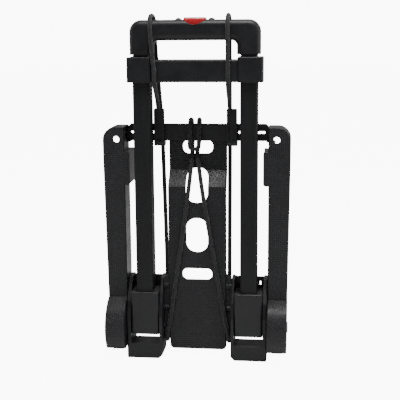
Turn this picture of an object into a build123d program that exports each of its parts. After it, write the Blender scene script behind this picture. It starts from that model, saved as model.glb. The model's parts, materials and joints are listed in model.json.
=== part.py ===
"""Folding luggage cart, folded and standing on its two feet.

Millimetres. +Z is up, the user stands at -Y, and the origin is at the bottom centre of the bounding box.
The mast stands at the middle of the tubes' depth (Y = 0), and the platform is folded up behind it.
"""

from build123d import *
from math import cos, sin, radians
import os

# ---- driving dimensions ----
WING_X = 110.0  # outer face of a wing at its top
WING_X_LOW = 107.8  # outer face of a wing at its wheel
WING_IN = 84.4  # inner face of a wing
WING_TOP = 279.5
WING_FRONT = -6.0
WING_BACK = 25.0
WALL = 2.4  # moulded walls
EDGE = 1.4  # rounding of their outer edges

WHEEL_R = 32.0
FENDER_R = 36.5
AXLE_Y = (FENDER_R - WHEEL_R) / 2  # keeps the bounding box centred on Y = 0
AXLE_Z = 38.0
AXLE_R = 4.0
BORE_R = 4.06  # running fit on the axle
FLOOR_Y = AXLE_Y + WHEEL_R  # the floor, once the platform is unfolded

TUBE_X = 62.0  # centre of each tube
OUTER_TUBE = (20.0, 25.0, 1.2, 3.0)  # width, depth, wall, corner radius
MIDDLE_TUBE = (16.4, 21.4, 1.1, 2.4)
INNER_TUBE = (13.0, 18.0, 1.1, 2.0)
OUTER_TUBE_Z = (47.0, 350.0)
MIDDLE_TUBE_Z = (58.0, 361.3)
INNER_TUBE_Z = (82.0, 385.2)

BRIDGE_Z = (331.7, 360.2)
BRIDGE_X = (49.2, 78.0)  # block around each tube
BLOCK_Y = 16.5
BAR_Y = 13.5
BAR_TOP = 357.0

GRIP_X = 75.0
GRIP_TOP = 402.0
GRIP_LOW = 378.7
LEG_IN = 48.2
LEG_LOW = 363.0
GRIP_Y = 14.0

SOCKET_Z = (29.5, 82.5)
SOCKET_HALF = (17.0, 16.0)

BRACKET_X = (41.0, 84.0)
FOOT_TOP = 18.5
BRACKET_TOP = 96.0

RAIL_Z = (261.0, 281.0)
RAIL_Y = (17.0, 26.0)
PLATE_X = 34.4
PLATE_FRONT = 1.0
PLATE_BACK = 12.0
SLOPE_Z = (208.5, 226.5)
TONGUE_LOW = 6.3
FLANGE_Z = (20.2, 98.6)
FLANGE_Y = (4.0, 8.0)

HOLE_X = 94.0  # fixing holes at the top of the wings
HOLE_Z = 265.0
HOLE_R = 4.0
HOLE_BACK = -1.0  # the back of its boss

CORD_D = 5.0
HOOK_X = (-45.4, 40.8)
HOOK_HALF = 6.0
HOOK_CORD_X = (-46.0, 38.4)

BUTTON_HALF = (12.4, 10.8)
BUTTON_TOP = 404.6

SCREW_R = 1.5
HEAD_R = 3.0
SIDES = (1, -1)


# ---- helpers ----
def block(x, y, z):
    """A box between two limits on each axis."""
    size = [b - a for a, b in (x, y, z)]
    centre = [(a + b) / 2 for a, b in (x, y, z)]
    return Pos(*centre) * Box(*size)


def rod(axis, at, span, radius):
    """A cylinder along X, Y or Z. at gives its two other coordinates."""
    length = span[1] - span[0]
    middle = (span[0] + span[1]) / 2
    cylinder = Cylinder(radius, length)
    if axis == "X":
        return Pos(middle, *at) * Rot(0, 90, 0) * cylinder
    if axis == "Y":
        return Pos(at[0], middle, at[1]) * Rot(90, 0, 0) * cylinder
    return Pos(*at, middle) * cylinder


def side_plate(points, x):
    """An outline in Y and Z, given thickness along X."""
    face = make_face(Plane.YZ * Polyline(*points, close=True))
    return Pos(x[0], 0, 0) * extrude(face, amount=x[1] - x[0], dir=(1, 0, 0))


def front_plate(points, y):
    """An outline in X and Z, given thickness along Y."""
    face = make_face(Polyline(*[(px, y[0], pz) for px, pz in points], close=True))
    return extrude(face, amount=y[1] - y[0], dir=(0, 1, 0))


def slot_y(x, z, y, radius):
    """A rounded rectangular opening through Y."""
    face = RectangleRounded(x[1] - x[0], z[1] - z[0], radius)
    middle = ((x[0] + x[1]) / 2, y[0], (z[0] + z[1]) / 2)
    return extrude(Plane(middle, x_dir=(1, 0, 0), z_dir=(0, 1, 0)) * face, amount=y[1] - y[0])


def rounded_bar(x, size, z, radius):
    """A bar of rounded rectangular section, standing along Z."""
    face = Pos(x, 0, z[0]) * RectangleRounded(*size, radius)
    return extrude(face, amount=z[1] - z[0])


def tube(x, section, z):
    width, depth, wall, radius = section
    outside = rounded_bar(x, (width, depth), z, radius)
    inside = rounded_bar(x, (width - 2 * wall, depth - 2 * wall), z, radius - wall)
    return outside - inside


def rim(part, x, back):
    """The edges of the side faces at these places along X, in front of back."""
    flat = [e for e in part.edges() if e.bounding_box().size.X < 0.01]
    flat = [e for e in flat if min(abs(e.center().X - at) for at in x) < 0.01]
    return [e for e in flat if e.bounding_box().max.Y < back and e.bounding_box().size.Z > 0.01]


def mirrored(part):
    return mirror(part, about=Plane.YZ)


def screw(axis, at, head, tip, head_height=1.8):
    """A screw from its head's outer face at head to its tip."""
    way = 1 if tip > head else -1
    under_head = head + way * head_height
    span = sorted((head, under_head))
    shank = sorted((head, tip))
    return rod(axis, at, span, HEAD_R) + rod(axis, at, shank, SCREW_R)


def screw_hole(axis, at, head, tip, head_height=1.8):
    """The recess that a screw sits in, open beyond its head."""
    way = 1 if tip > head else -1
    outside = head - way * 6
    span = sorted((outside, head + way * head_height))
    return rod(axis, at, span, HEAD_R + 0.15) + rod(axis, at, sorted((head, tip)), SCREW_R)


def cord(points, radii):
    """A round cord along straight runs joined by tangent arcs."""
    path = FilletPolyline(*points, radius=radii) if radii else Polyline(*points)
    section = Plane(origin=path @ 0, z_dir=path % 0) * Circle(CORD_D / 2)
    solid = sweep(section, path=path)
    expected = 3.14159265 * (CORD_D / 2) ** 2 * path.length
    print(f"cord {path.length:.1f} mm, radii {radii}, volume ratio {solid.volume / expected:.4f}")
    return solid


# ---- mast: outer tubes, sockets and crossbar ----
def socket():
    """The foot of a tube, which turns on the axle inside its bracket."""
    low, top = SOCKET_Z
    half_x, half_y = SOCKET_HALF
    swing = AXLE_Y + half_y  # the rounded heel that passes over the foot's bar
    x = (TUBE_X - half_x, TUBE_X + half_x)
    body = block(x, (-half_y, half_y), (AXLE_Z, top))
    heel = rod("X", (AXLE_Y, AXLE_Z), x, swing) & block(x, (-half_y, half_y), (low, AXLE_Z))
    part = body + heel
    part = fillet(part.edges().filter_by(Axis.Z).group_by(Axis.Y)[0], 3)
    part = fillet(part.edges().group_by(Axis.Z)[-1], 1.6)
    part -= rounded_bar(TUBE_X, OUTER_TUBE[:2], (OUTER_TUBE_Z[0], top + 1), OUTER_TUBE[3])
    part -= rod("X", (AXLE_Y, AXLE_Z), (x[0] - 1, x[1] + 1), 5.5)
    return part - screw_hole("Y", (TUBE_X, 64), half_y, TUBE_X - 50)


def socket_screw():
    return screw("Y", (TUBE_X, 64), SOCKET_HALF[1], 12.5 - OUTER_TUBE[2])


def outer_tube():
    part = tube(TUBE_X, OUTER_TUBE, OUTER_TUBE_Z)
    return part - rod("Y", (TUBE_X, 64), (8, 16), SCREW_R)


def pivot_bush():
    x = (TUBE_X - SOCKET_HALF[0] + 0.1, TUBE_X + SOCKET_HALF[0] - 0.1)
    return rod("X", (AXLE_Y, AXLE_Z), x, 5.5) - rod("X", (AXLE_Y, AXLE_Z), x, BORE_R)


def bridge():
    """The whole crossbar, before it is cut into its front and rear shells."""
    low, top = BRIDGE_Z
    inner, outer = BRIDGE_X
    bar = block((-inner - 1, inner + 1), (-BAR_Y, BAR_Y), (low, BAR_TOP))
    bar = fillet(bar.edges().filter_by(Axis.X), 2)
    hollow = block((-40, 40), (-BAR_Y + WALL, BAR_Y - WALL), (low + WALL, BAR_TOP - WALL))
    part = bar - hollow
    for x in (-26, 26):
        part += rod("Y", (x, 344), (-BAR_Y + 1, BAR_Y - 1), 4.5)
    for side in SIDES:
        size = (outer - inner, 2 * BLOCK_Y)
        collar = rounded_bar(side * (inner + outer) / 2, size, (low, top), 3)
        collar = fillet(collar.edges().group_by(Axis.Z)[-1], 1.2)
        part += collar
        pocket = (OUTER_TUBE[0] + 0.1, OUTER_TUBE[1] + 0.1)
        part -= rounded_bar(side * TUBE_X, pocket, (low - 1, top - 1.4), 3)
        mouth = (MIDDLE_TUBE[0] + 0.8, MIDDLE_TUBE[1] + 0.8)
        part -= rounded_bar(side * TUBE_X, mouth, (low - 1, top + 1), 2.8)
    for x in (-26, 26):
        part -= screw_hole("Y", (x, 344), BAR_Y - 1.5, -BAR_Y + 4)
    return part


def bridge_screw(x):
    return screw("Y", (x, 344), BAR_Y - 1.5, -BAR_Y + 4)


def guide_ring(z, outside, radius, inside):
    """A ring around a sliding tube, with clearance for it."""
    hole = (inside[0] + 0.3, inside[1] + 0.3)
    ring = rounded_bar(TUBE_X, outside, z, radius)
    return ring - rounded_bar(TUBE_X, hole, (z[0] - 1, z[1] + 1), inside[3])


def tube_glide():
    return guide_ring((350, BRIDGE_Z[1] - 1.4), OUTER_TUBE[:2], 3, MIDDLE_TUBE)


def middle_collar():
    """The cap of a middle tube, which rests on the crossbar."""
    ring = guide_ring((BRIDGE_Z[1] + 0.3, LEG_LOW - 0.4), (19, 24), 3, INNER_TUBE)
    return ring - rounded_bar(TUBE_X, MIDDLE_TUBE[:2], (360, MIDDLE_TUBE_Z[1]), MIDDLE_TUBE[3])


def end_guide(tube_low, inside_of, fills):
    """The plug under a sliding tube: a block that runs in the larger tube and a spigot in its own."""
    wall_out, wall_in = 2 * inside_of[2], 2 * fills[2]
    size = (inside_of[0] - wall_out - 0.4, inside_of[1] - wall_out - 0.4)
    spigot = (fills[0] - wall_in, fills[1] - wall_in)
    part = rounded_bar(TUBE_X, size, (tube_low - 8, tube_low), 1.6)
    part += rounded_bar(TUBE_X, spigot, (tube_low, tube_low + 15), fills[3] - fills[2])
    part -= rod("Z", (TUBE_X, 0), (tube_low - 9, tube_low + 17), 3.4)
    part -= block((TUBE_X, TUBE_X + 4.1), (-1.4, 1.4), (tube_low + 4, tube_low + 16))
    return part - rod("X", (0, tube_low + 10), (TUBE_X, TUBE_X + 12), 2.1)


def snap_button(tube_low, section):
    """A lock pin at rest, flush with its tube's outer face, on its bent spring clip."""
    face = TUBE_X + section[0] / 2
    pin = rod("X", (0, tube_low + 10), (TUBE_X + 3.8, face), 2.0)
    clip = block((TUBE_X + 3.5, TUBE_X + 3.9), (-1.2, 1.2), (tube_low + 5, tube_low + 14))
    return pin + clip


def slide_tube(section, z):
    part = tube(TUBE_X, section, z)
    return part - rod("X", (0, z[0] + 10), (TUBE_X + 3, TUBE_X + 12), 2.1)


# ---- handle: inner tubes and grip ----
def grip_outline(inset=0.0):
    """The handle's outline in X and Z: a bar with a leg at each end."""
    x, top, leg = GRIP_X - inset, GRIP_TOP - inset, LEG_IN + inset
    corner, inner = 14 - inset, 6 + inset
    body = Plane.XZ * Pos(0, (top + LEG_LOW) / 2) * Rectangle(2 * x, top - LEG_LOW)
    body = fillet(body.vertices().group_by(Axis.Z)[-1], corner)
    low = GRIP_LOW + inset
    gap = Plane.XZ * Pos(0, (low + LEG_LOW) / 2 - 5) * Rectangle(2 * leg, low - LEG_LOW + 10)
    gap = fillet(gap.vertices().group_by(Axis.Z)[-1], inner)
    return body - gap


def grip():
    """The whole handle, before it is cut into its front and rear shells."""
    part = extrude(grip_outline(), amount=GRIP_Y, both=True)
    rim = part.edges().group_by(Axis.Y)
    edges = [e for e in rim[0] + rim[-1] if e.center().Z > LEG_LOW + 0.5]
    part = fillet(edges, 7.5)
    for side in (-19, 19):
        shoulder = Pos(side, 0, GRIP_TOP - 2.2) * Sphere(4.4)
        part += Pos(side, 0, 0) * block((-4, 4), (-9.5, 9.5), (392, GRIP_TOP - 1))
        part += shoulder & block((side - 6, side + 6), (-6, 6), (390, 410))
    hollow = block((-40, 40), (-GRIP_Y + 3, GRIP_Y - 3), (GRIP_LOW + 3, GRIP_TOP - 4))
    part -= hollow
    for side in SIDES:
        part -= rounded_bar(side * TUBE_X, INNER_TUBE[:2], (360, INNER_TUBE_Z[1]), INNER_TUBE[3])
        part -= block(sorted((side * 38, side * TUBE_X)), (-4, 4), (384, 393))
        part -= rod("Z", (side * TUBE_X, 0), (380, 395), 3.4)
    part -= block((-12.7, 12.7), (-11.1, 11.1), (390, 412))
    window = rod("Y", (0, WINDOW_Z), (-20, 20), WINDOW_R)
    part -= window & block((-12.7, 12.7), (-20, 20), (390, 412))
    for x in GRIP_SCREWS:
        part += rod("Y", (x, GRIP_SCREW_Z), (-GRIP_Y + 2, GRIP_Y - 2), 3.2)
        part -= screw_hole("Y", (x, GRIP_SCREW_Z), GRIP_Y - 1.5, -GRIP_Y + 4)
    return part


WINDOW_R = 14.8  # round-bottomed window in front of and behind the button
WINDOW_Z = 411.2
GRIP_SCREWS = (-28, 28)
GRIP_SCREW_Z = 395.6


def halves(part, limit=200):
    """The front and rear shells of a moulding that is split along Y = 0."""
    front = part & block((-limit, limit), (-60, 0), (0, 450))
    rear = part & block((-limit, limit), (0, 60), (0, 450))
    return front, rear


# ---- release button ----
YOKE_Z = (388.6, 391.6)


def button_cap():
    half_x, half_y = BUTTON_HALF
    cap = block((-half_x, half_x), (-half_y, half_y), (393.5, BUTTON_TOP))
    cap = fillet(cap.edges().filter_by(Axis.X).group_by(Axis.Z)[-1], 3.5)
    cap = fillet(cap.edges().filter_by(Axis.Y).group_by(Axis.Z)[-1], 1.6)
    return cap - block((-half_x + 2, half_x - 2), (-6, 6), (393, 396.5))


def yoke():
    """The bar under the button, which presses on the rods in both tubes."""
    bar = block((-TUBE_X - 1.9, TUBE_X + 1.9), (-2.6, 2.6), YOKE_Z)
    return bar + block((-9, 9), (-5.6, 5.6), (YOKE_Z[1], 396.5))


def push_rod():
    return rod("Z", (TUBE_X, 0), (98, YOKE_Z[0]), 2.4)


def button_spring():
    """A compression spring, as its closed envelope."""
    z = (GRIP_LOW + 3, YOKE_Z[0])
    return rod("Z", (0, 0), z, 4.5) - rod("Z", (0, 0), z, 3.3)


# ---- platform ----
def wing_profile(inset=0.0):
    """A wing's outline in Y and Z: a straight upper part over a round fender."""
    front, top = WING_FRONT + inset, WING_TOP - inset
    back = WING_BACK if inset == 0 else 60
    upper = Plane.YZ * Pos((front + back) / 2, (AXLE_Z + top) / 2) * Rectangle(back - front, top - AXLE_Z)
    round_part = Plane.YZ * Pos(AXLE_Y, AXLE_Z) * Circle(FENDER_R - inset)
    return upper + round_part


def wing_face(inset=0.0):
    """A wing's outline in X and Z, with its rounded top corner and slight taper."""
    low, top = (15.0, WING_TOP - inset) if inset == 0 else (-10.0, WING_TOP - inset)
    inner, outer, outer_low = WING_IN + inset, WING_X - inset, WING_X_LOW - inset
    points = [(inner, low), (outer_low, low), (outer_low, 83), (outer, 240), (outer, top), (inner, top)]
    face = make_face(Plane.XZ * Polyline(*points, close=True))
    corner = face.vertices().group_by(Axis.Z)[-1].sort_by(Axis.X)[-1]
    return fillet(corner, 15 - inset)


def wheel_well_cut():
    """What is left open behind and below the fender, so that the wheel can reach the floor."""
    points = [(-60, 15), (9, 15), (16, 26), (25.1, 105), (80, 105), (80, -30), (-60, -30)]
    return side_plate(points, (80, 115))


def wing():
    solid = Pos(WING_IN, 0, 0) * extrude(wing_profile(), amount=26, dir=(1, 0, 0))
    solid = solid & Pos(0, -40, 0) * extrude(wing_face(), amount=120, dir=(0, 1, 0))
    front = solid.edges().filter_by_position(Axis.Y, -60, WING_FRONT + 0.01)
    across = front.filter_by(Axis.X).filter_by(lambda edge: edge.length > 20)
    solid = fillet([edge for edge in front if edge not in across], EDGE)
    hollow = Pos(WING_IN, 0, 0) * extrude(wing_profile(WALL), amount=26, dir=(1, 0, 0))
    hollow = hollow & Pos(0, -40, 0) * extrude(wing_face(WALL), amount=120, dir=(0, 1, 0))
    part = solid - hollow
    inside = (WING_IN + 1, WING_X_LOW - 1)
    roof = rod("X", (AXLE_Y, AXLE_Z), inside, FENDER_R) - rod("X", (AXLE_Y, AXLE_Z), inside, FENDER_R - WALL)
    part += roof & block((80, 115), (WING_FRONT, 22), (50, 80))
    for z in (112, 158, 204):
        part += block(inside, (WING_FRONT + 1, 14), (z, z + 1.8))
    post = block((78.4, 94), (WING_FRONT, 31), (211, 251))
    post = fillet(post.edges().filter_by(Axis.Y).group_by(Axis.X)[0], 3)
    part += post - block((80.8, 91.6), (WING_FRONT + WALL, 32), (213.4, 248.6))
    part += rod("Y", (HOLE_X, HOLE_Z), (WING_FRONT, HOLE_BACK), 6.6)
    part += rod("Y", RAIL_SCREW, (WING_FRONT, RAIL_Y[0]), 3.6)
    part -= wheel_well_cut()
    part -= rod("Y", (HOLE_X, HOLE_Z), (WING_FRONT - 1, RAIL_Y[1] + 1), HOLE_R)
    part -= rod("X", (AXLE_Y, AXLE_Z), (80, 112), AXLE_R)
    part -= block((80, WING_IN + 3), (RAIL_Y[0], 40), (259.2, 276.3))
    return part - screw_hole("Y", RAIL_SCREW, RAIL_Y[1] - 1, 0)


RAIL_SCREW = (88.2, 271.6)


def support_pad():
    """The rubber foot of the unfolded platform, plugged into the back of its post."""
    pad = block((78.4, 94), (31, FLOOR_Y), (211, 251))
    pad = fillet(pad.edges().group_by(Axis.Y)[-1], 1.5)
    return pad + block((80.8, 91.6), (26, 31), (213.4, 248.6))


def bracket():
    """One foot of the folded cart, whose two cheeks hold the axle on each side of the socket."""
    inner, outer = BRACKET_X
    cheek = [(-17, 0), (-17, 52), (-12, 70), (4, BRACKET_TOP), (25, BRACKET_TOP), (25, 22), (11, 0)]
    part = side_plate(cheek, (inner, inner + 3.6))
    part += side_plate(cheek, (outer - 4.6, outer))
    part += block((inner, outer), (-17, 11), (0, FOOT_TOP))
    part = fillet(rim(part, BRACKET_X, 5), EDGE)
    part = fillet(part.edges().filter_by(Axis.X).group_by(Axis.Y)[0].group_by(Axis.Z)[0], EDGE)
    part -= block((inner + 2.6, outer - 2.6), (-14.4, 12), (2.6, FOOT_TOP - 2.6))
    part += block((inner + 1, outer - 1), (17, 20), (74, BRACKET_TOP))
    part -= block((74.2, 76), (16, 21), (85.5, 90.5))
    corner = [(inner - 1, -1), (inner + 6, -1), (inner - 1, 6)]
    part -= front_plate(corner, (-20, 14))
    part -= rod("X", (AXLE_Y, AXLE_Z), (inner - 1, outer + 1), AXLE_R)
    for z in BRACKET_SCREWS:
        part -= screw_hole("X", (6, z), inner + 3.6, PLATE_X)
    return part


BRACKET_SCREWS = (58, 86)


def plate_profile(front_inset, back, low):
    """The centre plate's section in Y and Z, which steps forward below its slope."""
    rail_front, front = RAIL_Y[0] + front_inset, PLATE_FRONT + front_inset
    top = RAIL_Z[0] - (0 if front_inset == 0 else 2.5)
    nose = 2.5 if front_inset == 0 else 2.0
    return [
        (rail_front, top),
        (rail_front, SLOPE_Z[1]),
        (front, SLOPE_Z[0]),
        (front, 24),
        (front + nose, low),
        (back, low),
        (back, SLOPE_Z[0] - 4),
        (back + 14, SLOPE_Z[1] - 4),
        (back + 14, top),
    ]


def centre_plate():
    shell = side_plate(plate_profile(0, PLATE_BACK, TONGUE_LOW), (-PLATE_X, PLATE_X))
    shell = fillet(shell.edges().filter_by(Axis.Y).group_by(Axis.Z)[0], 5)
    shell = fillet(rim(shell, (-PLATE_X, PLATE_X), RAIL_Y[0] + 0.1), 1.2)
    shell -= side_plate(plate_profile(3, 50, TONGUE_LOW + 2.5), (-PLATE_X + WALL, PLATE_X - WALL))
    for z in (40, 62, 84, 119, 180):
        shell += block((-PLATE_X + 1, PLATE_X - 1), (3, PLATE_BACK - 1), (z, z + 2))
    for side in SIDES:
        inner, outer = PLATE_X - 1, BRACKET_X[0]
        low, top = FLANGE_Z
        points = [(inner, low), (outer, low), (outer, top - 3), (inner + 1.5, top + 3), (inner, top + 3)]
        flange = front_plate(points, FLANGE_Y)
        flange = fillet(flange.edges().filter_by(Axis.X).group_by(Axis.Z)[0], 1.9)
        for z in BRACKET_SCREWS:
            flange += rod("X", (6, z), (30, outer), 4)
        shell += flange if side > 0 else mirrored(flange)
    for half, z, radius in PLATE_SLOTS:
        shell -= slot_y((-half, half), z, (-10, RAIL_Y[1] + 1), radius)
    for side in SIDES:
        for z in BRACKET_SCREWS:
            shell -= rod("X", (6, z), sorted((side * (PLATE_X - 5), side * 42)), SCREW_R)
    return shell


# half width, height range and corner radius of the plate's openings, the first of them a notch under the rail
PLATE_SLOTS = (
    (18.0, (246.0, 262.2), 7.2),
    (13.2, (189.0, 229.0), 12.0),
    (13.0, (129.0, 170.6), 12.0),
    (18.0, (95.0, 109.0), 6.6),
)


def front_rail():
    """The crosspiece at the platform's front, with a tongue into each wing."""
    x, (low, top), (front, back) = WING_IN, RAIL_Z, RAIL_Y
    rail = block((-x + 0.2, x - 0.2), RAIL_Y, RAIL_Z)
    rail = chamfer(rail.edges().filter_by(Axis.Y).group_by(Axis.Z)[-1], 3.5)
    rail = fillet(rail.edges().group_by(Axis.Y)[0], 1.2)
    rail = fillet(rail.edges().filter_by(Axis.X).group_by(Axis.Z)[-1], 1.2)
    rail -= block((-x + 2.4, x - 2.4), (front + 2.6, back + 1), (low + 2.5, top - 2.5))
    rail -= block((-x + 2.4, x - 2.4), (back - 2.5, back + 1), (low - 1, low + 3))
    for at in (-64, -40, -14, 8, 30, 56):
        rail += block((at, at + 2), (front + 1, back - 3), (low + 1, top - 1))
    for side in SIDES:
        tongue = block((x - 3, 92), (front + 0.2, back - 1), (259.5, 276))
        tongue -= rod("Y", (HOLE_X, HOLE_Z), (10, 30), HOLE_R + 1.2)
        tongue -= screw_hole("Y", RAIL_SCREW, back - 1, 0)
        rail += tongue if side > 0 else mirrored(tongue)
        rail -= slot_y(sorted((side * 48, side * 80)), (269.8, 272.8), (10, 21), 1.3)
    return rail


def axle_pin():
    """The pin that one socket and one wheel turn on."""
    return rod("X", (AXLE_Y, AXLE_Z), (BRACKET_X[0] + 0.2, WING_X_LOW), AXLE_R)


def axle_cap():
    cap = rod("X", (AXLE_Y, AXLE_Z), (WING_X_LOW, WING_X_LOW + 1), 6.5)
    return fillet(cap.edges().group_by(Axis.X)[-1], 0.7)


# ---- wheels ----
WHEEL_X = (88.2, 104.2)
RIM_R = 24.0


def tyre():
    ring = rod("X", (AXLE_Y, AXLE_Z), WHEEL_X, WHEEL_R)
    ring = fillet(ring.edges(), 3)
    return ring - rod("X", (AXLE_Y, AXLE_Z), (80, 110), RIM_R)


def hub():
    low, high = WHEEL_X
    centre = (AXLE_Y, AXLE_Z)
    rim = rod("X", centre, (low + 0.6, high - 0.6), RIM_R) - rod("X", centre, WHEEL_X, RIM_R - 2.6)
    web = rod("X", centre, (low + 6, high - 6), RIM_R - 1)
    for spoke in range(6):
        angle = radians(60 * spoke)
        at = (AXLE_Y + 14.5 * cos(angle), AXLE_Z + 14.5 * sin(angle))
        web -= rod("X", at, WHEEL_X, 4.6)
    boss = rod("X", centre, (low - 0.8, high + 0.4), 8.5)
    return rim + web + boss - rod("X", centre, (80, 110), 5.5)


def wheel_bush():
    span = (WHEEL_X[0] - 0.8, WHEEL_X[1] + 0.4)
    return rod("X", (AXLE_Y, AXLE_Z), span, 5.5) - rod("X", (AXLE_Y, AXLE_Z), span, BORE_R)


# ---- elastic cord and its hooks ----
def hook(x, cord_x):
    """A moulded hook: a shank in front of the rail, curled up behind the rail's lower lip."""
    sides = (x - HOOK_HALF, x + HOOK_HALF)
    shank = block(sides, (10.6, 16.7), (255.4, 299.5))
    foot = block(sides, (10.6, 26.4), (255.4, 260.6))
    lip = block((x - 4.8, x + 4.8), (23.8, 26.4), (260, 268))
    part = shank + foot + lip
    part = fillet(part.edges().filter_by(Axis.X).group_by(Axis.Y)[0].group_by(Axis.Z)[0], 4.5)
    part = fillet(part.edges().group_by(Axis.Z)[-1], 1.0)
    part -= slot_y((x - 3.8, x + 3.8), (262, 283), (9, 12.4), 3)
    return part - rod("Z", (cord_x, 13.5), (288, 300), CORD_D / 2)


# the cord's route is one line from hook to hook, in stretches that each follow one or two bodies
HITCH = [
    (-6.58, 11.97, 240.6), (-6.2, 14.2, 246), (-6.5, 15.4, 251.6), (-7.2, 29.0, 259.0), (-8.2, 29.0, 284.2),
    (-8.5, 14.1, 284.2), (-8.7, 14.0, 268), (-8.7, 8.8, 260.2), (-8.7, 8.8, 252.4), (2.0, 8.8, 252.4),
    (2.0, 8.8, 260.2), (2.0, 14.0, 268), (1.8, 14.1, 284.2), (1.4, 29.0, 284.2), (0.6, 29.0, 259.0),
    (-0.2, 15.4, 251.6), (-0.5, 14.2, 246), (0.43, 11.97, 240.6),
]
HITCH_RADII = [6, 4, 5, 4.4, 4.4, 8, 8, 5, 5, 8, 8, 4.4, 4.4, 5, 4, 6]
LEFT_LOWER = [
    (-6.58, 11.97, 240.6), (-9.0, -2.3, 206), (-32.8, -2.6, 46), (-37.1, -0.9, 30), (-37.6, 1.2, 17.4),
    (-37.75, 10.6, 17.4), (-37.75, 14.5, 96), (-43.8, 29.4, 252), (-44.4, 29.4, 278),
]
RIGHT_LOWER = [
    (0.43, 11.97, 240.6), (6.4, -2.3, 206), (33.0, -2.6, 46), (37.1, -0.9, 30), (37.6, 1.2, 17.4),
    (37.75, 10.6, 17.4), (37.75, 14.5, 96), (37.4, 29.4, 252), (37.4, 29.4, 278),
]
LOWER_RADII = [20, 15, 10, 4.4, 4.4, 60, 60]
LEFT_REAR = [(-44.4, 29.4, 278), (-44.56, 29.4, 285), (-47.22, 22.26, 336)]
RIGHT_REAR = [(37.4, 29.4, 278), (37.4, 29.4, 285), (37.79, 22.26, 336)]
REAR_RADII = [30]
LEFT_REAR_STAGE = [(-47.22, 22.26, 336), (-48.785, 18.06, 366)]
RIGHT_REAR_STAGE = [(37.79, 22.26, 336), (38.023, 18.06, 366)]
LEFT_LOOP = [
    (-48.785, 18.06, 366), (-49.29, 16.7, 375.7), (-49.8, 16.7, 404.7), (-50.3, -16.7, 404.7),
    (-48.6, -16.7, 374), (-47.8, -16.7, 366),
]
RIGHT_LOOP = [
    (38.023, 18.06, 366), (38.1, 16.7, 375.7), (38.2, 16.7, 404.7), (38.2, -16.7, 404.7),
    (38.4, -16.7, 374), (38.4, -16.7, 366),
]
LOOP_RADII = [20, 9.9, 9.9, 40]
LEFT_FRONT_STAGE = [(-47.8, -16.7, 366), (-45.6, -16.7, 344), (-45.54, -16.7, 336)]
RIGHT_FRONT_STAGE = [(38.4, -16.7, 366), (38.4, -16.7, 336)]
LEFT_FRONT = [(-45.54, -16.7, 336), (-45.5, -16.7, 330.8), (-46.0, 13.5, 304.5), (-46.0, 13.5, 288)]
RIGHT_FRONT = [(38.4, -16.7, 336), (38.4, -16.7, 330.8), (38.4, 13.5, 304.5), (38.4, 13.5, 288)]
FRONT_RADII = [6, 6]


def cords():
    straight = []
    return {
        "cord_hitch": cord(HITCH, HITCH_RADII),
        "left_lower_cord": cord(LEFT_LOWER, LOWER_RADII),
        "right_lower_cord": cord(RIGHT_LOWER, LOWER_RADII),
        "left_rear_cord": cord(LEFT_REAR, REAR_RADII),
        "right_rear_cord": cord(RIGHT_REAR, REAR_RADII),
        "left_rear_stage_cord": cord(LEFT_REAR_STAGE, straight),
        "right_rear_stage_cord": cord(RIGHT_REAR_STAGE, straight),
        "left_cord_loop": cord(LEFT_LOOP, LOOP_RADII),
        "right_cord_loop": cord(RIGHT_LOOP, LOOP_RADII),
        "left_front_stage_cord": cord(LEFT_FRONT_STAGE, [20]),
        "right_front_stage_cord": cord(RIGHT_FRONT_STAGE, straight),
        "left_front_cord": cord(LEFT_FRONT, FRONT_RADII),
        "right_front_cord": cord(RIGHT_FRONT, FRONT_RADII),
    }


# ---- assembly ----
def pair(part):
    """Both sides' copies of a small part, as one node."""
    return Compound(children=[part, mirrored(part)])


def sided(name, part):
    return {f"right_{name}": part, f"left_{name}": mirrored(part)}


def bracket_screw_group():
    screws = []
    for z in BRACKET_SCREWS:
        one = screw("X", (6, z), BRACKET_X[0] + 3.6, PLATE_X - 4)
        screws += [one, mirrored(one)]
    return Compound(children=screws)


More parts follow.
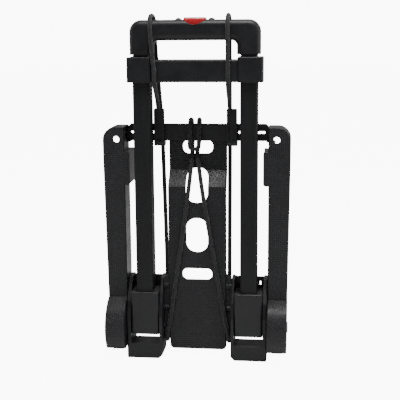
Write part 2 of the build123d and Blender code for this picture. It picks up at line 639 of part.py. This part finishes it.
def build():
    bridge_front, bridge_rear = halves(bridge())
    grip_front, grip_rear = halves(grip())
    nodes = {
        "bridge_front": bridge_front,
        "bridge_rear": bridge_rear,
        "bridge_screws": Compound(children=[bridge_screw(-26), bridge_screw(26)]),
        "pivot_bushes": pair(pivot_bush()),
        "socket_screws": pair(socket_screw()),
        "tube_glides": pair(tube_glide()),
        "middle_end_guides": pair(end_guide(MIDDLE_TUBE_Z[0], OUTER_TUBE, MIDDLE_TUBE)),
        "middle_collars": pair(middle_collar()),
        "middle_snap_buttons": pair(snap_button(MIDDLE_TUBE_Z[0], MIDDLE_TUBE)),
        "inner_end_guides": pair(end_guide(INNER_TUBE_Z[0], MIDDLE_TUBE, INNER_TUBE)),
        "inner_snap_buttons": pair(snap_button(INNER_TUBE_Z[0], INNER_TUBE)),
        "grip_front": grip_front,
        "grip_rear": grip_rear,
        "grip_screws": Compound(
            children=[screw("Y", (x, GRIP_SCREW_Z), GRIP_Y - 1.5, -GRIP_Y + 4) for x in GRIP_SCREWS]
        ),
        "button_cap": button_cap(),
        "button_yoke": yoke(),
        "push_rods": pair(push_rod()),
        "button_spring": button_spring(),
        "centre_plate": centre_plate(),
        "front_rail": front_rail(),
        "axle_pins": pair(axle_pin()),
        "axle_caps": pair(axle_cap()),
        "support_pads": pair(support_pad()),
        "rail_screws": pair(screw("Y", RAIL_SCREW, RAIL_Y[1] - 1, 2)),
        "bracket_screws": bracket_screw_group(),
        "left_hook": hook(HOOK_X[0], HOOK_CORD_X[0]),
        "right_hook": hook(HOOK_X[1], HOOK_CORD_X[1]),
    }
    nodes |= sided("outer_tube", outer_tube())
    nodes |= sided("socket", socket())
    nodes |= sided("middle_tube", slide_tube(MIDDLE_TUBE, MIDDLE_TUBE_Z))
    nodes |= sided("inner_tube", slide_tube(INNER_TUBE, INNER_TUBE_Z))
    nodes |= sided("wing", wing())
    nodes |= sided("bracket", bracket())
    nodes |= sided("tyre", tyre())
    nodes |= sided("hub", hub())
    nodes |= sided("wheel_bush", wheel_bush())
    nodes |= cords()
    return nodes


os.makedirs("parts", exist_ok=True)
for name, part in build().items():
    export_step(part, f"parts/{name}.step")
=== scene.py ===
"""Folding luggage cart: camera, elastic cord, finishes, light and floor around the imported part.

Metres, in the part's own frame: +Z up, the user at -Y, origin at the bottom centre of the folded cart.
"""

import json
from math import cos, pi, radians, sin, tau

import bpy
from mathutils import Matrix, Vector


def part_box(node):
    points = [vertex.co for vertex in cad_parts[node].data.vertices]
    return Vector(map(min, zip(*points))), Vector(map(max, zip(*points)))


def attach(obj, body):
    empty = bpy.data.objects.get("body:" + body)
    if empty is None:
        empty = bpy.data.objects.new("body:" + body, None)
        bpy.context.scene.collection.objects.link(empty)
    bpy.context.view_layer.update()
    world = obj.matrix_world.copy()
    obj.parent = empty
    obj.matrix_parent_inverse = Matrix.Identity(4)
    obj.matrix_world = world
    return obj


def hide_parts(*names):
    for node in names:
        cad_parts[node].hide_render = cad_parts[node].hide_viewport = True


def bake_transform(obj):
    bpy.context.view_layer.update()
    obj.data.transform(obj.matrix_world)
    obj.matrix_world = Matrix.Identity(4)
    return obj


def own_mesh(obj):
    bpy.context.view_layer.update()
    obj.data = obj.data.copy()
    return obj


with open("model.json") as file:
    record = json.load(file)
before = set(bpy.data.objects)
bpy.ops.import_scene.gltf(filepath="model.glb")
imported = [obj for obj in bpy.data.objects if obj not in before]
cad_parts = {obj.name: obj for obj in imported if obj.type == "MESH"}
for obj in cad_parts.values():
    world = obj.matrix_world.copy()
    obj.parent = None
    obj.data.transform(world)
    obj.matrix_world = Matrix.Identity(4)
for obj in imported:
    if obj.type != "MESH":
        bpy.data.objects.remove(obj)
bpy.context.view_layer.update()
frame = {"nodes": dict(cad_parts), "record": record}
nodes = frame["nodes"]

# ---- camera ----
AZIMUTH, ELEVATION, ROLL = radians(6.5), radians(11), radians(-0.45)
DISTANCE = 1.05
TARGET = Vector((0.004, 0.0, 0.193))


def make_camera():
    data = bpy.data.cameras.new("camera")
    data.lens = 80
    data.sensor_width = 36
    data.clip_start = 0.01
    camera = bpy.data.objects.new("camera", data)
    bpy.context.scene.collection.objects.link(camera)
    flat = DISTANCE * cos(ELEVATION)
    offset = Vector((flat * sin(AZIMUTH), -flat * cos(AZIMUTH), DISTANCE * sin(ELEVATION)))
    facing = (-offset).to_track_quat("-Z", "Y").to_matrix().to_4x4()
    camera.matrix_world = Matrix.Translation(TARGET + offset) @ facing @ Matrix.Rotation(ROLL, 4, "Z")
    bpy.context.scene.camera = camera


make_camera()

# ---- elastic cord ----
CORD_D = 0.005
CORD_SIDES = 24
SPLINE_STEPS = 28  # line points made for each given point of a route
BRAID_TURNS = 12  # strands of the sheath seen around the cord
BRAID_PITCH = 0.0011  # along the cord, from one strand to the next

ROUTES = {
    "cord_hitch": [
        (-0.00658, 0.01197, 0.2406), (-0.0062, 0.0142, 0.246), (-0.0065, 0.0154, 0.2516),
        (-0.0072, 0.0290, 0.2580), (-0.0077, 0.0303, 0.2720), (-0.0082, 0.0303, 0.2862),
        (-0.0085, 0.0127, 0.2862), (-0.0087, 0.0135, 0.268), (-0.0087, 0.0088, 0.2602),
        (-0.0087, 0.0088, 0.2524), (0.0020, 0.0088, 0.2524), (0.0020, 0.0088, 0.2602),
        (0.0020, 0.0135, 0.268), (0.0018, 0.0127, 0.2862), (0.0014, 0.0303, 0.2862),
        (0.0010, 0.0303, 0.2720), (0.0006, 0.0290, 0.2580), (-0.0002, 0.0154, 0.2516),
        (-0.0005, 0.0142, 0.246), (0.00043, 0.01197, 0.2406),
    ],
    "left_lower_cord": [
        (-0.00658, 0.01197, 0.2406), (-0.0090, -0.0023, 0.206), (-0.0145, -0.0024, 0.169),
        (-0.0328, -0.0026, 0.046), (-0.0371, -0.0009, 0.030), (-0.0376, 0.0012, 0.0174),
        (-0.03775, 0.0106, 0.0174), (-0.03775, 0.0111, 0.027), (-0.03775, 0.0145, 0.096),
        (-0.0438, 0.0301, 0.252), (-0.0444, 0.0294, 0.278),
    ],
    "right_lower_cord": [
        (0.00043, 0.01197, 0.2406), (0.0064, -0.0023, 0.206), (0.01255, -0.0024, 0.169),
        (0.0330, -0.0026, 0.046), (0.0371, -0.0009, 0.030), (0.0376, 0.0012, 0.0174),
        (0.03775, 0.0106, 0.0174), (0.03775, 0.0111, 0.027), (0.03775, 0.0145, 0.096),
        (0.0374, 0.0301, 0.252), (0.0374, 0.0294, 0.278),
    ],
    "left_rear_cord": [(-0.0444, 0.0294, 0.278), (-0.04456, 0.0294, 0.285), (-0.04722, 0.02226, 0.336)],
    "right_rear_cord": [(0.0374, 0.0294, 0.278), (0.0374, 0.0294, 0.285), (0.03779, 0.02226, 0.336)],
    "left_rear_stage_cord": [
        (-0.04722, 0.02226, 0.336), (-0.04795, 0.0203, 0.350), (-0.048785, 0.01806, 0.366),
    ],
    "right_rear_stage_cord": [
        (0.03779, 0.02226, 0.336), (0.0379, 0.0203, 0.350), (0.038023, 0.01806, 0.366),
    ],
    "left_cord_loop": [
        (-0.048785, 0.01806, 0.366), (-0.04929, 0.0167, 0.3757), (-0.0498, 0.0182, 0.4068),
        (-0.0503, -0.0182, 0.4068), (-0.0486, -0.0167, 0.374), (-0.0478, -0.0167, 0.366),
    ],
    "right_cord_loop": [
        (0.038023, 0.01806, 0.366), (0.0381, 0.0167, 0.3757), (0.0382, 0.0182, 0.4068),
        (0.0382, -0.0182, 0.4068), (0.0384, -0.0167, 0.374), (0.0384, -0.0167, 0.366),
    ],
    "left_front_stage_cord": [
        (-0.0478, -0.0167, 0.366), (-0.0462, -0.0167, 0.350), (-0.0456, -0.0167, 0.344),
        (-0.04554, -0.0167, 0.336),
    ],
    "right_front_stage_cord": [
        (0.0384, -0.0167, 0.366), (0.0384, -0.0167, 0.350), (0.0384, -0.0167, 0.336),
    ],
    "left_front_cord": [
        (-0.04554, -0.0167, 0.336), (-0.0455, -0.0175, 0.3285), (-0.0460, 0.0135, 0.3045),
        (-0.0460, 0.0135, 0.288),
    ],
    "right_front_cord": [
        (0.0384, -0.0167, 0.336), (0.0384, -0.0175, 0.3285), (0.0384, 0.0135, 0.3045),
        (0.0384, 0.0135, 0.288),
    ],
}
# the two bodies that a stretch joins, and the heights between which it passes from one to the other
STRETCHES = {
    "rear_cord": ("platform", "mast", 0.286, 0.334),
    "rear_stage_cord": ("mast", "middle_stage", 0.338, 0.366),
    "cord_loop": ("middle_stage", "handle", 0.366, 0.376),
    "front_stage_cord": ("mast", "middle_stage", 0.338, 0.366),
    "front_cord": ("platform", "mast", 0.296, 0.332),
}


def line_of(route):
    """Points along the route's smooth spline."""
    curve = bpy.data.curves.new("route", "CURVE")
    curve.dimensions = "3D"
    spline = curve.splines.new("NURBS")
    spline.points.add(len(route) - 1)
    for point, at in zip(spline.points, route):
        point.co = (*at, 1)
    spline.order_u = 3
    spline.use_endpoint_u = True
    spline.resolution_u = SPLINE_STEPS
    holder = bpy.data.objects.new("route", curve)
    bpy.context.scene.collection.objects.link(holder)
    bpy.context.view_layer.update()
    mesh = bpy.data.meshes.new_from_object(holder)
    line = [v.co.copy() for v in mesh.vertices]
    bpy.data.objects.remove(holder)
    bpy.data.curves.remove(curve)
    bpy.data.meshes.remove(mesh)
    return line


def tube_mesh(name, line, radius, sides):
    """A closed tube around a line, with the distance along it and the turn around it as its UV map."""
    verts, faces, uvs = [], [], []
    tangents = [(b - a).normalized() for a, b in zip(line, line[1:])]
    inner = [(a + b).normalized() for a, b in zip(tangents, tangents[1:])]
    tangents = [tangents[0], *inner, tangents[-1]]
    across = tangents[0].orthogonal().normalized()
    run, along = 0.0, []
    for n, (at, way) in enumerate(zip(line, tangents)):
        across = (across - way * across.dot(way)).normalized()
        up = way.cross(across)
        if n:
            run += (at - line[n - 1]).length
        along.append(run)
        for k in range(sides):
            turn = tau * k / sides
            verts.append(at + radius * (cos(turn) * across + sin(turn) * up))
    for n in range(len(line) - 1):
        for k in range(sides):
            low, high = n * sides, (n + 1) * sides
            faces.append((low + k, low + (k + 1) % sides, high + (k + 1) % sides, high + k))
            u, v = (k / sides, (k + 1) / sides), (along[n], along[n + 1])
            uvs += [(u[0], v[0]), (u[1], v[0]), (u[1], v[1]), (u[0], v[1])]
    for ring, flip in ((0, True), (len(line) - 1, False)):
        cap = [ring * sides + k for k in range(sides)]
        faces.append(tuple(reversed(cap)) if flip else tuple(cap))
        uvs += [(0.0, along[ring])] * sides
    mesh = bpy.data.meshes.new(name)
    mesh.from_pydata([tuple(v) for v in verts], [], faces)
    layer = mesh.uv_layers.new(name="braid")
    layer.data.foreach_set("uv", [x for uv in uvs for x in uv])
    mesh.polygons.foreach_set("use_smooth", [len(f) == 4 for f in faces])
    mesh.validate()
    return mesh


def new_piece(name, mesh, material):
    piece = bpy.data.objects.new(name, mesh)
    bpy.context.scene.collection.objects.link(piece)
    mesh.materials.append(material)
    return piece


def make_cords(material):
    for node, route in ROUTES.items():
        line = line_of(route)
        mesh = tube_mesh(f"{node}_braid", line, CORD_D / 2, CORD_SIDES)
        piece = new_piece(f"{node}_braid", mesh, material)
        kind = node.split("_", 1)[1]
        if kind in STRETCHES:
            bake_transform(piece)
        else:
            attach(piece, "platform")
        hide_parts(node)


# ---- materials ----
EDGE_GAIN = 9.0  # how quickly the rounding of an edge counts as wear


class Finish:
    """A node material under construction. Textures run in the part's own metres."""

    def __init__(self, name, **sockets):
        self.material = bpy.data.materials.new(name)
        self.material.use_nodes = True
        self.tree = self.material.node_tree
        self.shader = self.tree.nodes["Principled BSDF"]
        for key, value in sockets.items():
            self.shader.inputs[key.replace("_", " ")].default_value = value
        self.place = self.add("ShaderNodeTexCoord").outputs["Object"]
        self.normal = None

    def add(self, kind, inputs=None, **settings):
        node = self.tree.nodes.new(kind)
        for key, value in settings.items():
            setattr(node, key, value)
        for key, value in (inputs or {}).items():
            self.put(node.inputs[key], value)
        return node

    def put(self, socket, value):
        if isinstance(value, bpy.types.NodeSocket):
            self.tree.links.new(value, socket)
        else:
            socket.default_value = value

    def math(self, operation, a, b=0.0, c=0.0, clamp=False):
        node = self.add("ShaderNodeMath", operation=operation, use_clamp=clamp)
        for n, value in enumerate((a, b, c)):
            self.put(node.inputs[n], value)
        return node.outputs[0]

    def stretched(self, scale, rotation=(0, 0, 0)):
        inputs = {"Vector": self.place, "Scale": scale, "Rotation": rotation}
        return self.add("ShaderNodeMapping", inputs).outputs[0]

    def noise(self, scale, detail=3.0, vector=None, roughness=0.55):
        inputs = {"Vector": vector or self.place, "Scale": scale, "Detail": detail}
        inputs["Roughness"] = roughness
        return self.add("ShaderNodeTexNoise", inputs).outputs["Fac"]

    def spread(self, value, low, high, to_low=0.0, to_high=1.0):
        inputs = {"Value": value, "From Min": low, "From Max": high, "To Min": to_low, "To Max": to_high}
        return self.add("ShaderNodeMapRange", inputs, clamp=True).outputs[0]

    def mix(self, factor, a, b):
        node = self.add("ShaderNodeMix", data_type="RGBA")
        self.put(node.inputs[0], factor)
        for n, colour in ((6, a), (7, b)):
            self.put(node.inputs[n], colour if isinstance(colour, bpy.types.NodeSocket) else (*colour, 1))
        return node.outputs[2]

    def bump(self, height, distance, strength=1.0):
        inputs = {"Height": height, "Distance": distance, "Strength": strength}
        if self.normal is not None:
            inputs["Normal"] = self.normal
        self.normal = self.add("ShaderNodeBump", inputs).outputs[0]

    def edges(self, radius):
        """Rounds the sharp edges a little, and returns how near an edge each point is."""
        self.normal = self.add("ShaderNodeBevel", {"Radius": radius}, samples=6).outputs[0]
        face = self.add("ShaderNodeNewGeometry").outputs["Normal"]
        together = self.add("ShaderNodeVectorMath", operation="DOT_PRODUCT")
        self.put(together.inputs[0], self.normal)
        self.put(together.inputs[1], face)
        away = self.math("SUBTRACT", 1.0, together.outputs["Value"])
        return self.math("MULTIPLY", away, EDGE_GAIN, clamp=True)

    def upward(self):
        """How far a surface faces up, from 0 to 1, where dust settles."""
        normal = self.add("ShaderNodeNewGeometry").outputs["Normal"]
        split = self.add("ShaderNodeSeparateXYZ", {"Vector": normal})
        return self.spread(split.outputs["Z"], 0.3, 1.0)

    def done(self, colour, roughness):
        self.put(self.shader.inputs["Base Color"], colour)
        self.put(self.shader.inputs["Roughness"], roughness)
        if self.normal is not None:
            self.put(self.shader.inputs["Normal"], self.normal)
        return self.material


def checker_height(finish, pitch):
    """A moulded anti-slip pattern of small diamonds, on faces that look forwards or back, from 0 to 1."""
    split = finish.add("ShaderNodeSeparateXYZ", {"Vector": finish.place})
    x, y, z = split.outputs
    turn = tau / (2 * pitch)
    rise = finish.math("ADD", z, y)
    first = finish.math("SINE", finish.math("MULTIPLY", finish.math("ADD", x, rise), turn))
    second = finish.math("SINE", finish.math("MULTIPLY", finish.math("SUBTRACT", x, rise), turn))
    ridges = finish.math("MULTIPLY", first, second)
    height = finish.spread(ridges, -0.35, 0.35)
    normal = finish.add("ShaderNodeNewGeometry").outputs["Normal"]
    side = finish.math("ABSOLUTE", finish.add("ShaderNodeSeparateXYZ", {"Vector": normal}).outputs["X"])
    return finish.math("MULTIPLY", height, finish.spread(side, 0.35, 0.6, 1.0, 0.0))


def moulded(name, base, roughness, grain=2600.0, grain_depth=0.00003, pitch=None):
    """Black moulded plastic: a fine grain, cloudy sheen, rubbed edges, dust and faint scuffs."""
    finish = Finish(name, IOR=1.46)
    edge = finish.edges(0.0005)
    cloud = finish.noise(55, 4)
    flow = finish.noise(14, 2, finish.stretched((1.0, 1.0, 0.35)))
    fine = finish.noise(grain, 2)
    dark = tuple(0.72 * c for c in base)
    light = tuple(1.35 * c for c in base)
    colour = finish.mix(finish.spread(cloud, 0.3, 0.7), dark, light)
    colour = finish.mix(finish.math("MULTIPLY", finish.spread(flow, 0.45, 0.7), 0.35), colour, light)
    wear_patch = finish.spread(finish.noise(120, 5), 0.42, 0.62)
    wear = finish.math("MULTIPLY", finish.math("MULTIPLY", edge, wear_patch), 0.55)
    colour = finish.mix(wear, colour, (0.075, 0.076, 0.080))
    speck = finish.spread(finish.noise(900, 2, roughness=0.7), 0.66, 0.78)
    dust = finish.math("MULTIPLY", finish.upward(), finish.spread(finish.noise(70, 6), 0.35, 0.75))
    dust, speck = finish.math("MULTIPLY", dust, 0.22), finish.math("MULTIPLY", speck, 0.05)
    dust = finish.math("MAXIMUM", dust, speck)
    colour = finish.mix(dust, colour, (0.20, 0.195, 0.185))
    scratch_place = finish.stretched((1.0, 1.0, 0.05), (0.3, 0.5, 0.2))
    scratch = finish.spread(finish.noise(700, 1, scratch_place), 0.69, 0.74)
    scuffs = finish.math("MULTIPLY", scratch, finish.spread(finish.noise(30, 2), 0.5, 0.62))
    rough = finish.spread(cloud, 0.25, 0.75, roughness - 0.07, roughness + 0.08)
    rough = finish.math("ADD", rough, finish.math("MULTIPLY", dust, 0.6))
    rough = finish.math("SUBTRACT", rough, finish.math("MULTIPLY", wear, 0.25), clamp=True)
    if pitch:
        diamonds = checker_height(finish, pitch)
        # painted highlight: the raised diamonds of the moulded pattern are painted lighter than the
        # plastic around them
        colour = finish.mix(finish.math("MULTIPLY", diamonds, 0.5), colour, tuple(2.4 * c for c in base))
        finish.bump(diamonds, 0.00035, 1.0)
    finish.bump(fine, grain_depth, 0.9)
    finish.bump(scuffs, 0.00002, 0.5)
    return finish.done(colour, rough)


def anodised(name):
    """Black anodised tube: fine drawing lines along it and rubbed corners."""
    finish = Finish(name, IOR=1.42, Metallic=0.1)
    edge = finish.edges(0.0004)
    lines = finish.noise(1.0, 3, finish.stretched((2600, 2600, 22)))
    broad = finish.noise(1.0, 3, finish.stretched((160, 160, 9)))
    colour = finish.mix(finish.spread(lines, 0.35, 0.65), (0.008, 0.0082, 0.0092), (0.014, 0.0143, 0.016))
    streak = finish.math("MULTIPLY", finish.spread(broad, 0.4, 0.7), 0.4)
    colour = finish.mix(streak, colour, (0.022, 0.0225, 0.025))
    rub = finish.math("MULTIPLY", edge, finish.spread(finish.noise(150, 4), 0.4, 0.62))
    colour = finish.mix(finish.math("MULTIPLY", rub, 0.5), colour, (0.16, 0.16, 0.165))
    print_smear = finish.spread(finish.noise(45, 5), 0.52, 0.68)
    rough = finish.spread(lines, 0.3, 0.7, 0.46, 0.56)
    rough = finish.math("ADD", rough, finish.math("MULTIPLY", print_smear, 0.09))
    finish.bump(lines, 0.000012, 0.6)
    return finish.done(colour, rough)


def plated(name):
    """Zinc-plated steel: a cool mottled plate with a fine grain and a little staining."""
    finish = Finish(name, Metallic=1.0)
    finish.edges(0.0002)
    cloud, fine = finish.noise(260, 4), finish.noise(3200, 2)
    colour = finish.mix(finish.spread(cloud, 0.3, 0.7), (0.50, 0.51, 0.52), (0.68, 0.68, 0.67))
    stain = finish.spread(finish.noise(420, 5), 0.58, 0.72)
    colour = finish.mix(finish.math("MULTIPLY", stain, 0.3), colour, (0.36, 0.33, 0.29))
    rough = finish.spread(cloud, 0.3, 0.7, 0.24, 0.40)
    finish.bump(fine, 0.00001, 0.6)
    return finish.done(colour, rough)


def nylon(name):
    """Natural nylon: milky, with a waxy surface and handling marks."""
    finish = Finish(name, IOR=1.53, Subsurface_Weight=0.08, Subsurface_Scale=0.002)
    edge = finish.edges(0.0003)
    cloud = finish.noise(160, 4)
    colour = finish.mix(finish.spread(cloud, 0.3, 0.7), (0.50, 0.49, 0.45), (0.62, 0.61, 0.58))
    grime = finish.spread(finish.noise(240, 5), 0.55, 0.75)
    colour = finish.mix(finish.math("MULTIPLY", grime, 0.25), colour, (0.20, 0.19, 0.17))
    colour = finish.mix(finish.math("MULTIPLY", edge, 0.25), colour, (0.70, 0.69, 0.67))
    finish.bump(finish.noise(1800, 2), 0.00002, 0.6)
    return finish.done(colour, finish.spread(cloud, 0.3, 0.7, 0.42, 0.56))


def glossy_red(name):
    """The button: glossy red with fine thumb scratches and a duller rubbed crown."""
    finish = Finish(name, IOR=1.49, Coat_Weight=0.5, Coat_Roughness=0.12)
    edge = finish.edges(0.0005)
    cloud = finish.noise(180, 4)
    colour = finish.mix(finish.spread(cloud, 0.3, 0.7), (0.66, 0.020, 0.026), (0.80, 0.030, 0.036))
    colour = finish.mix(finish.math("MULTIPLY", edge, 0.35), colour, (0.80, 0.12, 0.09))
    swirl = finish.noise(900, 1, finish.stretched((1.0, 0.12, 1.0), (0, 0, 0.5)))
    rough = finish.spread(cloud, 0.3, 0.7, 0.22, 0.34)
    rough = finish.math("ADD", rough, finish.math("MULTIPLY", finish.upward(), 0.06))
    finish.bump(swirl, 0.000008, 0.5)
    return finish.done(colour, rough)


def rubber(name, ribs=None):
    """Black rubber: chalky, dusty where it rolls, with fine moulding ribs across a tread."""
    finish = Finish(name, IOR=1.5)
    edge = finish.edges(0.0006)
    cloud, fine = finish.noise(90, 5), finish.noise(2200, 3)
    colour = finish.mix(finish.spread(cloud, 0.3, 0.7), (0.014, 0.014, 0.015), (0.030, 0.029, 0.028))
    chalk = finish.math("MULTIPLY", finish.spread(finish.noise(260, 6), 0.45, 0.70), 0.45)
    colour = finish.mix(chalk, colour, (0.060, 0.057, 0.052))
    colour = finish.mix(finish.math("MULTIPLY", edge, 0.3), colour, (0.070, 0.067, 0.062))
    if ribs:
        x = finish.add("ShaderNodeSeparateXYZ", {"Vector": finish.place}).outputs["X"]
        grooves = finish.math("ABSOLUTE", finish.math("SINE", finish.math("MULTIPLY", x, pi / ribs)))
        finish.bump(finish.spread(grooves, 0.0, 0.35), 0.00025, 0.7)
    finish.bump(fine, 0.00004, 0.8)
    return finish.done(colour, finish.spread(cloud, 0.3, 0.7, 0.68, 0.85))


def braided(name):
    """The cord's woven sheath: two families of strands that pass over and under each other, with painted
    shade in the gaps between them.
    """
    finish = Finish(name, IOR=1.5, Sheen_Weight=0.25, Sheen_Roughness=0.45)
    uv = finish.add("ShaderNodeUVMap", uv_map="braid").outputs[0]
    split = finish.add("ShaderNodeSeparateXYZ", {"Vector": uv})
    around = finish.math("MULTIPLY", split.outputs["X"], BRAID_TURNS * pi)
    along = finish.math("MULTIPLY", split.outputs["Y"], pi / BRAID_PITCH)
    first = finish.math("SINE", finish.math("ADD", around, along))
    second = finish.math("SINE", finish.math("SUBTRACT", around, along))
    over = finish.spread(finish.math("MULTIPLY", first, second), -0.15, 0.15)
    high_first = finish.math("ABSOLUTE", first)
    high_second = finish.math("ABSOLUTE", second)
    picked = finish.math("MULTIPLY", high_first, over)
    other = finish.math("MULTIPLY", high_second, finish.math("SUBTRACT", 1.0, over))
    height = finish.math("ADD", picked, other)
    fuzz = finish.noise(5200, 3)
    cloud = finish.noise(110, 3)
    # painted shade: darker where the strands sink between each other, lighter on their crowns
    colour = finish.mix(finish.spread(height, 0.2, 0.9), (0.008, 0.008, 0.009), (0.026, 0.026, 0.029))
    faded = finish.math("MULTIPLY", finish.spread(cloud, 0.4, 0.7), 0.35)
    colour = finish.mix(faded, colour, (0.040, 0.040, 0.043))
    lint = finish.spread(fuzz, 0.66, 0.78)
    colour = finish.mix(finish.math("MULTIPLY", lint, 0.25), colour, (0.10, 0.10, 0.105))
    finish.bump(height, 0.00022, 0.9)
    finish.bump(fuzz, 0.00003, 0.6)
    return finish.done(colour, finish.spread(height, 0.0, 1.0, 0.78, 0.58))


PLATFORM = (0.0145, 0.0147, 0.0165)
FRAME = (0.0165, 0.0168, 0.0188)
GRIP = (0.014, 0.0142, 0.0160)
DIAMOND_PITCH = 0.0023

finishes = {
    "platform_plastic": moulded("platform_plastic", PLATFORM, 0.42),
    "frame_plastic": moulded("frame_plastic", FRAME, 0.37),
    "grip_plastic": moulded("grip_plastic", GRIP, 0.42, grain=1500.0, grain_depth=0.00005),
    "tube_aluminium": anodised("tube_aluminium"),
    "guide_plastic": nylon("guide_plastic"),
    "steel": plated("steel"),
    "red_button": glossy_red("red_button"),
    "tyre_rubber": rubber("tyre_rubber", ribs=0.0032),
    "pad_rubber": rubber("pad_rubber"),
    "cord_elastic": braided("cord_elastic"),
}
patterned = moulded("platform_anti_slip", PLATFORM, 0.34, pitch=DIAMOND_PITCH)
PATTERNED_NODES = ("left_wing", "right_wing", "centre_plate")

for part in frame["record"]["subparts"]:
    mesh = nodes[part["node"]].data
    mesh.materials.clear()
    own = finishes[part["material_slot"]]
    mesh.materials.append(patterned if part["node"] in PATTERNED_NODES else own)

make_cords(finishes["cord_elastic"])


# ---- button spring ----
SPRING_WIRE = 0.0004  # radius of the wire
SPRING_TURNS = 4
SPRING_STEPS = 24  # line points in a turn
SPRING_SIDES = 10


def make_spring():
    """The release button's coil spring, in the space its CAD envelope holds."""
    low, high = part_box("button_spring")
    radius = (high.x - low.x) / 2 - SPRING_WIRE
    foot, top = low.z + SPRING_WIRE, high.z - SPRING_WIRE
    points = SPRING_TURNS * SPRING_STEPS
    line = []
    for n in range(points + 1):
        angle = tau * n / SPRING_STEPS
        line.append(Vector((radius * cos(angle), radius * sin(angle), foot + n / points * (top - foot))))
    mesh = tube_mesh("button_coil", line, SPRING_WIRE, SPRING_SIDES)
    spring = new_piece("button_coil", mesh, finishes["steel"])
    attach(spring, "release")
    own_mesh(spring)
    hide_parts("button_spring")


make_spring()


# ---- floor and light ----
SEEN_WHITE = 10.0  # how bright the surround and floor look behind the object
FLOOR_LIT = 0.5  # the part of it that the floor gets from the lights
FLOOR_HALF = 8.0
GLOW_FRONT, GLOW_BACK = (-0.75, 0.11), (0.5, 0.40)  # direction in Y, and how strongly the surround lights
SOFTBOXES = (  # name, place, size, watts
    ("right_softbox", (1.3, 0.15, 0.6), (1.0, 1.3), 5),
    ("left_softbox", (-1.4, 0.15, 0.6), (1.0, 1.3), 3.5),
    ("top_softbox", (0.15, -0.30, 1.5), (0.7, 0.3), 16),
)


def pale_floor():
    """White paper that stays pale to the eye without lighting the object from below."""
    finish = Finish("floor", IOR=1.45)
    cloud = finish.noise(3.0, 3)
    colour = finish.mix(cloud, (0.86, 0.86, 0.86), (0.89, 0.89, 0.89))
    finish.shader.inputs["Emission Color"].default_value = (1.0, 1.0, 1.0, 1)
    seen = finish.add("ShaderNodeLightPath").outputs["Is Camera Ray"]
    shine = finish.math("MULTIPLY", seen, SEEN_WHITE - FLOOR_LIT)
    finish.put(finish.shader.inputs["Emission Strength"], shine)
    return finish.done(colour, finish.spread(cloud, 0.3, 0.7, 0.75, 0.85))


def make_floor():
    mesh = bpy.data.meshes.new("floor")
    half = FLOOR_HALF
    corners = [(-half, -half, 0), (half, -half, 0), (half, half, 0), (-half, half, 0)]
    mesh.from_pydata(corners, [], [(0, 1, 2, 3)])
    mesh.materials.append(pale_floor())
    floor = bpy.data.objects.new("floor", mesh)
    bpy.context.scene.collection.objects.link(floor)


def make_light(name, place, size, watts):
    data = bpy.data.lights.new(name, "AREA")
    data.shape = "RECTANGLE"
    data.size, data.size_y = size
    data.energy = watts
    light = bpy.data.objects.new(name, data)
    light.location = place
    light.rotation_euler = (TARGET - Vector(place)).to_track_quat("-Z", "Y").to_euler()
    bpy.context.scene.collection.objects.link(light)


def make_world():
    """A white surround that lights the object softly, less from the user's side."""
    world = bpy.data.worlds.new("studio")
    bpy.context.scene.world = world
    world.use_nodes = True
    tree = world.node_tree
    add, link = tree.nodes.new, tree.links.new
    split = add("ShaderNodeSeparateXYZ")
    link(add("ShaderNodeTexCoord").outputs["Generated"], split.inputs[0])
    glow = add("ShaderNodeMapRange")
    for end, (way, share) in {"Min": GLOW_FRONT, "Max": GLOW_BACK}.items():
        glow.inputs[f"From {end}"].default_value = way
        glow.inputs[f"To {end}"].default_value = share
    link(split.outputs["Y"], glow.inputs["Value"])
    strength = add("ShaderNodeMix")
    link(add("ShaderNodeLightPath").outputs["Is Camera Ray"], strength.inputs[0])
    link(glow.outputs[0], strength.inputs[2])
    strength.inputs[3].default_value = SEEN_WHITE
    background = tree.nodes["Background"].inputs
    background["Color"].default_value = (1.0, 1.0, 1.0, 1)
    link(strength.outputs[0], background["Strength"])


make_floor()
for softbox in SOFTBOXES:
    make_light(*softbox)
make_world()
